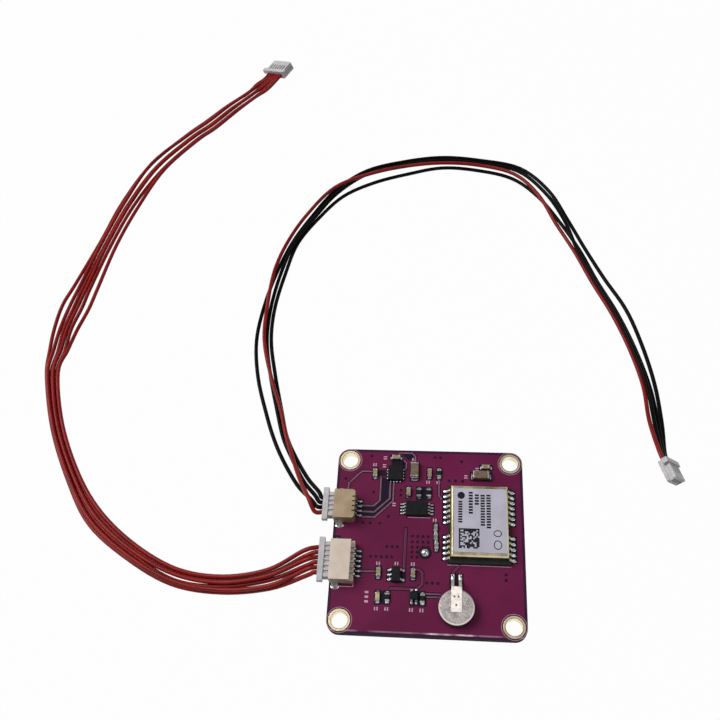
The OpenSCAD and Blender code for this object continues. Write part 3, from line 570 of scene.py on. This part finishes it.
def plug_axes(far):
    """Directions along a loose plug's nose and along its row of contacts."""
    heading, rise, roll = np.radians(far[1])
    turn = Matrix.Rotation(heading, 3, "Z") @ Matrix.Rotation(-rise, 3, "Y")
    turn = turn @ Matrix.Rotation(roll, 3, "X")
    return np.array(turn.col[0]), np.array(turn.col[1])


def right_of_way(lay, first, last):
    """Level direction to the right at each station, from the stations before and after it."""
    line = np.array([first, *[station[:2] for station in lay], last], float)
    way = unit(line[2:] - line[:-2])
    return np.column_stack([way[:, 1], -way[:, 0], np.zeros(len(way))])


def wire(name, middle, pin, leave, stations, far, contact):
    """A wire from contact pin of a seated plug, through its stations, to a contact of a loose plug.
    pin and contact are places along the rows, in millimetres from the middle; leave is how far the
    wire goes out of its plug, and to the right, before the first station."""
    nose, row = plug_axes(far)
    start = np.array([PLUG_FACE_X, middle + pin, WIRE_Z])
    end = np.array(far[0]) + row * contact
    path = spline([start, start + [-leave[0], leave[1], 0], *stations, end - nose * LEAD_IN, end], 6)
    cover = tube(path, WIRE_R, np.array([-1, 0, 0]), nose)
    made = piece("cord_" + name, [cover], FINISH[SLOT_OF[name]], SLOT_OF[name])
    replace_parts(made, name)


def four_way_harness(middle=5.9):
    right = right_of_way(LAY_4, (PLUG_FACE_X, middle), FAR_4[0][:2])
    names = ("red", "black_a", "black_b", "black_c")
    far_row = (-1.5, 1.5, -0.5, 0.5)
    leave = ((1.7, 0.1), (1.3, 0.15), (0.95, 0.2), (0.55, 0.2))
    for i, colour in enumerate(names):
        stations = [np.array([s[0], s[1], s[3][i]]) + r * s[2][i] for s, r in zip(LAY_4, right)]
        wire("wire_4_" + colour, middle, i - 1.5, leave[i], stations, FAR_4, far_row[i])


def six_way_harness(middle=-5.5):
    right = right_of_way(LAY_6, (PLUG_FACE_X, middle), FAR_6[0][:2])
    for i in range(6):
        place = i - 2.5
        stations = []
        for (x, y, across, z, lift, roll), r in zip(LAY_6, right):
            a = np.radians(roll)
            lean = np.array([0, 0, -np.sin(a)])
            stations.append(np.array([x, y, z + i % 2 * lift]) + (r * np.cos(a) + lean) * across[i])
        wire(f"wire_6_{i + 1}", middle, place, (0.9, 0), stations, FAR_6, -place)


four_way_harness()
six_way_harness()

# Tracks and tented holes of the board

TRACK_H = 0.035
GAP_H = 0.01
# Each track is its width and its corners
TRACKS = [
    (0.26, [(-13.9, 6.6), (-11.1, 6.6), (-9.9, 7.8), (-9.9, 13.1)]),
    (0.26, [(-13.9, 5.3), (-10.9, 5.3), (-7.9, 8.3), (-7.9, 12)]),
    (0.26, [(-13.9, 4.2), (-10.8, 4.2), (-7.2, 7.8), (-7.2, 12)]),
    (0.26, [(-16.5, 9.6), (-16.5, 11.4), (-13.9, 14.1), (-11.7, 14.1)]),
    (0.42, [(-4.4, 2.1), (-4.5, -6.3)]),
    (0.3, [(-13.6, -6.9), (-10, -6.9)]),
    (0.42, [(-2.4, -6.3), (-1.5, -6.3), (-0.9, -6.9), (-0.9, -9.1), (-1.9, -10.1), (-6.9, -10.1),
            (-7.2, -10.4)]),
    (0.42, [(6.4, -5.1), (5.1, -6.4), (5.1, -7.6)]),
    (0.22, [(-5.3, 16.7), (-4.75, 16.3), (-4.75, 14.9), (-5.3, 14.7)]),
    (0.24, [(-6.4, 18.4), (-3.6, 18.4), (-2.9, 17.7), (-2.9, 16.6)]),
    (0.3, [(2.05, 12.6), (2.05, 9.2), (2.7, 8.3)]),
    (0.22, [(-0.2, -10.9), (2.7, -10.9)]),
    (0.22, [(-0.2, -11.5), (2.6, -11.5)]),
]
BARE_AREAS = [
    [(-9.65, 7.4), (-8.1, 7.9), (-8.1, 12.4), (-9.65, 12.9)],
    [(-5.6, 18.1), (-3.7, 18.1), (-3.1, 17.4), (-4.1, 16.7), (-4.5, 16.9), (-5, 17.3)],
    rectangle(-0.95, 9.5, 3.4, 3), rectangle(-9.75, 13.75, 1.5, 1.4), rectangle(-6.6, 16.2, 2.6, 1.2),
    rectangle(-5.05, 15.6, 0.9, 2.2), rectangle(-8.45, -11.9, 1.2, 2.6), rectangle(-1.6, -11.9, 3.2, 3),
]
BARE_LANES = [
    (1.0, [(-13.7, 5.95), (-11, 5.95), (-9, 7.95)]),
    (0.8, [(-13.7, 4.75), (-10.85, 4.75), (-7.55, 8.05), (-7.55, 12)]),
]
VIAS = [
    *[(x, y) for x in (-3.05, -2, -0.95, 0.1) for y in (0.45, -0.7, -1.75, -2.75, -3.75)
      if x < -1.5 or y > -2],
    *[(x, -1.8) for x in (-8.1, -7, -6)], *[(x, -3.9) for x in (-11.15, -10.1, -9.05, -8, -7)],
    *[(x, -8.8) for x in (0, 1.05, 2.15)], *[(15.2, y) for y in (-6.65, -7.7)],
    *[(x, 12.45) for x in (4.1, 5.4, 6.85)], *[(x, 17.55) for x in (1.15, 2.25, -12.1)],
    *[(x, 2.95) for x in (-13.05, -11.65, -9.7)], *[(-5.7, y) for y in (10.1, 9.1)],
    (-11.3, 9.55), (-17.2, 12.4), (-8.05, 4.45), (6.6, 16.75), (-4.4, 2.1),
]


def board_tracks():
    """Each track is a ridge on a wider strip of bare laminate, with a painted highlight along its edges,
    fainter on wide tracks. Between close tracks and around some of the chip parts the laminate is bare."""
    gaps = [strip(path, width + 0.45, GAP_H) for width, path in TRACKS]
    piece("track_gaps", gaps, FINISH["laminate"], "board", False)
    # Position across each track, scaled down on wide tracks, which sets how strong the painted edge
    # highlight is.
    marks = [np.tile([-1.0, -0.8, 0.8, 1.0], len(path)) * min(1, 0.26 / width) for width, path in TRACKS]
    ridges = [strip(path, width, TRACK_H) for width, path in TRACKS]
    piece("tracks", ridges, masked_track(), "board", False, marks)
    areas = [plate(area, GAP_H / 2) for area in BARE_AREAS]
    areas += [strip(path, width, GAP_H * 0.7) for width, path in BARE_LANES]
    piece("bare_areas", areas, FINISH["laminate"], "board", False)


def board_vias():
    """Tented holes: a low rim around a dimple."""
    profile = [(0.32, 0), (0.28, 0.022), (0.22, 0.024), (0.13, 0.008), (0.05, 0.006)]
    piece("vias", [turned(centre, profile, sides=14) for centre in VIAS], via_mask(), "board")


# Solder. Each chip part is x, y, turn, length, width, height

PARTS = [
    *[(x, y, 90, 1.6, 0.8, 0.8)
      for x, y in ((-11.1, 13.6), (0.1, 13.9), (-4.1, 9.7), (-9.45, -7.15), (-2.7, -7.15))],
    *[(x, y, 0, 1.6, 0.8, 0.8) for x, y in ((-6.9, 17.2), (11.6, 15.5))],
    *[(x, y, 90, 1.6, 0.8, 0.5)
      for x, y in ((2.05, 13.9), (-1.95, 9.6), (0.05, 9.6), (-7.5, -11.9), (-0.75, -11.9))],
    *[(x, y, 90, 1.2, 0.7, 0.6) for x, y in ((1.55, 2.15), (1.6, 0.35), (1.75, -1.5))],
    (-9.4, -11.9, 90, 1.6, 0.8, 0.6), (-3, 14.3, 90, 3.2, 1.6, 1.25), (10.6, 13.55, 0, 3.2, 1.6, 1.25),
]
# Each row of leads is the row's middle, the way out, the count, the pitch, the pad's length and width
LEAD_ROWS = [
    *[(-2.3 + side * 3, 6.1, 90 - side * 90, 4, 0.65, 0.75, 0.38) for side in (-1, 1)],
    (-7.4, -7.5, 180, 3, 0.95, 0.7, 0.55), (-4.6, -7.5, 0, 2, 1.9, 0.7, 0.55),
    (-1.95, -10.25, 90, 1, 1, 0.6, 0.5), (-2.4, -12.75, 270, 2, 0.9, 0.6, 0.5),
    (-13.9, 5.9, 0, 4, 1, 1, 0.42), (-13.45, -5.5, 0, 6, 1, 1, 0.42),
    *[(-6.9 + c * 1.6, 13.6 + s * 1.6, turn, 4, 0.65, 0.4, 0.34)
      for turn, c, s in ((0, 1, 0), (90, 0, 1), (180, -1, 0), (270, 0, -1))],
]
RECEIVER = (10.1, 3.1)
RECEIVER_HALF = 6.1
RECEIVER_PADS = [3.1 + y for y in (-7, -5.9, -4.8, -3.7, -2.6, 0.4, 1.5, 2.6, 3.7, 4.8, 5.9, 7)]
FEED = (-0.45, -2.85)


def way(heading):
    return np.array([np.cos(np.radians(heading)), np.sin(np.radians(heading))])


def chip_joints():
    """Solder that climbs both ends of each chip part, on a dark patch, partly bare laminate and partly
    painted shade around the part. Neighbouring patches differ a little in height, so that no two lie in
    one plane."""
    skins = []
    gaps = []
    for x, y, turn, length, width, height in PARTS:
        for heading in (turn, turn + 180):
            foot = np.array([x, y]) + way(heading) * length / 2
            skins.append(fillet(foot, heading, 0.45, width * 1.05, height * 0.72))
        size = abs(way(turn)) * (length + 1.3) + abs(way(turn + 90)) * (width + 0.5)
        # Dark laminate patch around the part: partly a real opening in the lacquer, partly painted
        # shade.
        gaps.append(plate(rectangle(x, y, *size), GAP_H * (1 + 0.1 * len(gaps) % 1)))
    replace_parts(piece("chip_fillets", skins, FINISH["solder"], "solder"), "chip_solder")
    piece("chip_gaps_and_shade", gaps, FINISH["laminate"], "board", False)


def lead_joints():
    """A bead of solder over the toe of each lead, along its row, on a dark patch, partly bare laminate
    and partly painted shade around the leads.
    """
    beads = []
    gaps = []
    for x, y, heading, count, pitch, length, width in LEAD_ROWS:
        along = way(heading + 90)
        for k in range(count):
            centre = np.array([x, y]) + along * (k - (count - 1) / 2) * pitch
            beads.append(mound(centre, (length, width), 0.16, heading))
        size = abs(way(heading)) * (length + 0.35) + abs(along) * ((count - 1) * pitch + width + 0.35)
        # Dark laminate patch around the row: partly a real opening in the lacquer, partly painted shade.
        gaps.append(plate(rectangle(x, y, *size), GAP_H * 1.2))
    piece("lead_beads", beads, FINISH["solder"], "solder")
    piece("lead_gaps_and_shade", gaps, FINISH["laminate"], "board", False)


def receiver_joints():
    """Solder that climbs each half-hole along both sides of the receiver's carrier, and the gold rim of
    each half-hole on top of the carrier."""
    skins = []
    gaps = []
    for side, heading in ((-1, 180), (1, 0)):
        edge = RECEIVER[0] + side * RECEIVER_HALF
        skins += [fillet((edge, y), heading, 1.1, 0.72, 0.72) for y in RECEIVER_PADS]
        for first, last in ((0, 4), (5, 11)):
            low, high = RECEIVER_PADS[first] - 0.55, RECEIVER_PADS[last] + 0.55
            gaps.append(plate(rectangle(edge + side * 0.62, (low + high) / 2, 1.24, high - low), GAP_H))
    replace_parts(piece("receiver_fillets", skins, FINISH["solder"], "solder"), "receiver_joints")
    spots = [(RECEIVER[0] + side * (RECEIVER_HALF - 0.2), y) for side in (-1, 1) for y in RECEIVER_PADS]
    rims = [plate(rectangle(x, y, 0.26, 0.5), 0.02, CARRIER_TOP) for x, y in spots]
    piece("carrier_rims", rims, FINISH["gold_plating"], "gold_plating", False)
    piece("receiver_gaps", gaps, FINISH["laminate"], "board", False)


def larger_joints():
    """Pools of solder around the feet of the cell's forked tab and of the headers' anchors, and bare
    laminate under the tab's feet, behind the six-way header and around the antenna's feed joint."""
    pools = [mound((CELL[0] + side * 0.75, -7.75), (0.7, 1.7), 0.25) for side in (-1, 1)]
    for name in ("header_4_anchors", "header_6_anchors"):
        low, high = (np.array(corner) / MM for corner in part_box(name))
        x = (low[0] + high[0]) / 2
        pools += [mound((x, y), (1.9, 1.2), 0.15) for y in (low[1] + 0.1, high[1] - 0.1)]
    piece("solder_pools", pools, FINISH["solder"], "solder")
    patches = [rectangle(CELL[0], -8.2, 2.7, 3), rectangle(-18.1, -0.6, 1.5, 1.5)]
    gaps = [plate(patch, GAP_H) for patch in patches]
    gaps.append(turned(FEED, [(1.3, 0), (1.28, GAP_H * 2), (0.5, GAP_H * 2)], sides=28))
    piece("pool_gaps", gaps, FINISH["laminate"], "board", False)


# Print on the board and on the label

SILK_H = 0.02
INK_H = 0.008
LABEL_CELL = 0.31
LABEL_CELLS = 13
SILK_LINES = [
    [(3.9, -5.1), (16.3, -5.1)],
    [(-18.3, -10.1), (-14.3, -10.1), (-14.3, -9.2)],
    [(-4.1, 4.35), (0.4, 4.35)],
]
# Places of the short marks beside parts, and their turn
MARKS = [
    (-9.2, 17.2, 90), (-11.3, 15.6, 0), (-9.3, 15.4, 90), (-3.2, 17, 0), (-0.2, 12, 0), (1.9, 12, 0),
    (9.8, 15.1, 90), (7.5, 13.4, 90), (-7, 7, 90), (1.3, 3.9, 0), (-9.6, -5.3, 0), (-6, -5.2, 0),
    (-2.8, -5.2, 0), (-9.6, -14.1, 0), (-7.6, -14.1, 0), (-2.9, -14.1, 0), (-0.9, -14.1, 0),
]
# Columns of blocks on the label: x, lowest and highest y, width, step
COLUMNS = [
    (6.35, 2.9, 7.1, 0.8, 0.52), (8.4, 4.8, 9.1, 0.8, 0.6), (9.6, 6.7, 8.9, 0.8, 0.6),
    (10.75, 2.4, 8.9, 0.85, 0.55), (11.9, 1.9, 8.9, 0.85, 0.55),
]


def board_print():
    """Fine lines beside the receiver, the six-way header and the memory chip, two bars beside each
    part, and three wider ones beside the lamp."""
    skins = [strip(line, 0.13, SILK_H, shoulder=0.1) for line in SILK_LINES]
    for x, y, turn in MARKS:
        for k in (-0.24, 0.24):
            middle = np.array([x, y]) + way(turn) * k
            half = way(turn + 90) * 0.34
            skins.append(strip([middle - half, middle + half], 0.24, SILK_H))
    for y in (-12.8, -11.9, -11):
        skins.append(strip([(-11.9, y), (-11.2, y)], 0.45, SILK_H))
    piece("board_print", skins, print_ink("silk_ink", "a98597", "cfaebd", 0.4), "board", False)


def scatter(i, j):
    """Repeatable value from 0 to 1 for two whole numbers: what is left of 43758.5453 times the sine of
    12.9898 i + 78.233 j when its whole part is taken off."""
    return np.sin(i * 12.9898 + j * 78.233) * 43758.5453 % 1


def label_print():
    """A dot, columns of plain blocks, a square of scattered blocks, and two plain rings."""
    skins = [turned((6.5, 8.4), [(0.74, 0), (0.74, INK_H), (0.2, INK_H)], LABEL_TOP, 32)]
    for x, low, high, width, step in COLUMNS:
        for y in np.arange(low, high, step):
            skins.append(plate(rectangle(x, y, width, step * 0.68), INK_H, LABEL_TOP))
    block = LABEL_CELL * 0.98
    for i, j in np.ndindex(LABEL_CELLS, LABEL_CELLS):
        if i == 0 or j == LABEL_CELLS - 1 or scatter(i, j) > 0.42:
            spot = rectangle(6.2 + i * LABEL_CELL, -2.3 + j * LABEL_CELL, block, block)
            skins.append(plate(spot, INK_H, LABEL_TOP))
    a = np.linspace(0, 2 * np.pi, 29)
    for y, reach in ((0.7, 0.6), (-1.6, 0.85)):
        ring = np.column_stack([13.6 + 0.72 * np.cos(a), y + reach * np.sin(a)])
        skins.append(strip(ring, 0.17, INK_H, LABEL_TOP))
    piece("label_print", skins, print_ink("label_ink", "0f0f14", "1e1e24", 0.3), "label", False)


def tab_welds():
    """Two weld spots and one dimple on the cell's top tab."""
    profile = [(0.2, 0), (0.17, 0.02), (0.06, 0.012)]
    spots = [(-0.4, 1.9), (0.35, 1.9), (-0.05, 0.3)]
    skins = [turned((CELL[0] + x, CELL[1] + y), profile, TAB_TOP, 14) for x, y in spots]
    piece("tab_welds", skins, metal("weld_spot", "4a3a36", "8a756c", 0.4, 0.2, 0.006), "cell_tab")


board_tracks()
board_vias()
chip_joints()
lead_joints()
receiver_joints()
larger_joints()
board_print()
label_print()
tab_welds()

# Studio. The lamps are name, place in metres, size in metres, watts

FLOOR_R = 1500
BEND_R = 500
WALL_H = 1000
FLOOR_GREY = 0.35
FLOOR_WHITE = 0.98
SKY_LOW = 0.03
SKY_HIGH = 0.3
LAMPS = [
    ("key", (-0.34, 0.12, 0.42), 0.36, 2.6),
    ("fill", (0.3, -0.04, 0.5), 0.34, 0.6),
    ("front", (-0.08, -0.42, 0.26), 0.15, 0.04),
]
LAMPS_AIM = (0, 0.03, 0)


def studio():
    """A white floor that keeps soft shadows and turns up into a low wall all round, a dim sky above, and
    three soft lamps: a large one at the left, a weaker one at the right and a small one in front."""
    scene = bpy.context.scene
    scene.view_settings.view_transform = "Standard"
    mesh = bpy.data.meshes.new("floor")
    bend = np.radians(np.linspace(0, 90, 9))
    curve = np.column_stack([FLOOR_R + BEND_R * np.sin(bend), BEND_R - BEND_R * np.cos(bend)])
    points, faces = turned((0, 0), [(1, 0), *curve, (FLOOR_R + BEND_R, WALL_H)], 0, 64)
    mesh.from_pydata((points * MM).tolist(), [], faces[:-1])
    mesh.polygons.foreach_set("use_smooth", [True] * len(mesh.polygons))
    floor = bpy.data.objects.new("floor", mesh)
    scene.collection.objects.link(floor)
    look = Look("floor", base_color=(FLOOR_GREY, FLOOR_GREY, FLOOR_GREY, 1), roughness=0.9)
    glow = look.node("ShaderNodeEmission", None, {"Color": (1, 1, 1, 1), "Strength": 1.0})
    ray = look.tree.nodes.new("ShaderNodeLightPath")
    kinds = ("Is Camera Ray", "Is Glossy Ray", "Is Transmission Ray")
    seen = [Tone(look, ray.outputs[kind]) for kind in kinds]
    share = (seen[0] + seen[1] + seen[2]) * FLOOR_WHITE
    surface = Tone(look, look.shader.outputs[0])
    mixed = look.node("ShaderNodeMixShader", None, {0: share, 1: surface, 2: glow})
    look.tree.links.new(mixed.socket, look.tree.nodes["Material Output"].inputs["Surface"])
    floor.data.materials.append(look.material)

    world = bpy.data.worlds.new("studio")
    scene.world = world
    world.use_nodes = True
    tree = world.node_tree
    sky = tree.nodes["Background"]
    sky.inputs["Color"].default_value = (1, 1, 1, 1)
    place = tree.nodes.new("ShaderNodeTexCoord")
    split = tree.nodes.new("ShaderNodeSeparateXYZ")
    rise = tree.nodes.new("ShaderNodeMapRange")
    tree.links.new(place.outputs["Generated"], split.inputs[0])
    tree.links.new(split.outputs["Z"], rise.inputs["Value"])
    rise.inputs["To Min"].default_value = SKY_LOW
    rise.inputs["To Max"].default_value = SKY_HIGH
    tree.links.new(rise.outputs[0], sky.inputs["Strength"])

    for name, spot, size, watts in LAMPS:
        lamp = bpy.data.lights.new(name, "AREA")
        lamp.size = size
        lamp.energy = watts
        light = bpy.data.objects.new(name, lamp)
        light.location = spot
        light.rotation_mode = "QUATERNION"
        light.rotation_quaternion = (Vector(LAMPS_AIM) - Vector(spot)).to_track_quat("-Z", "Y")
        scene.collection.objects.link(light)


studio()
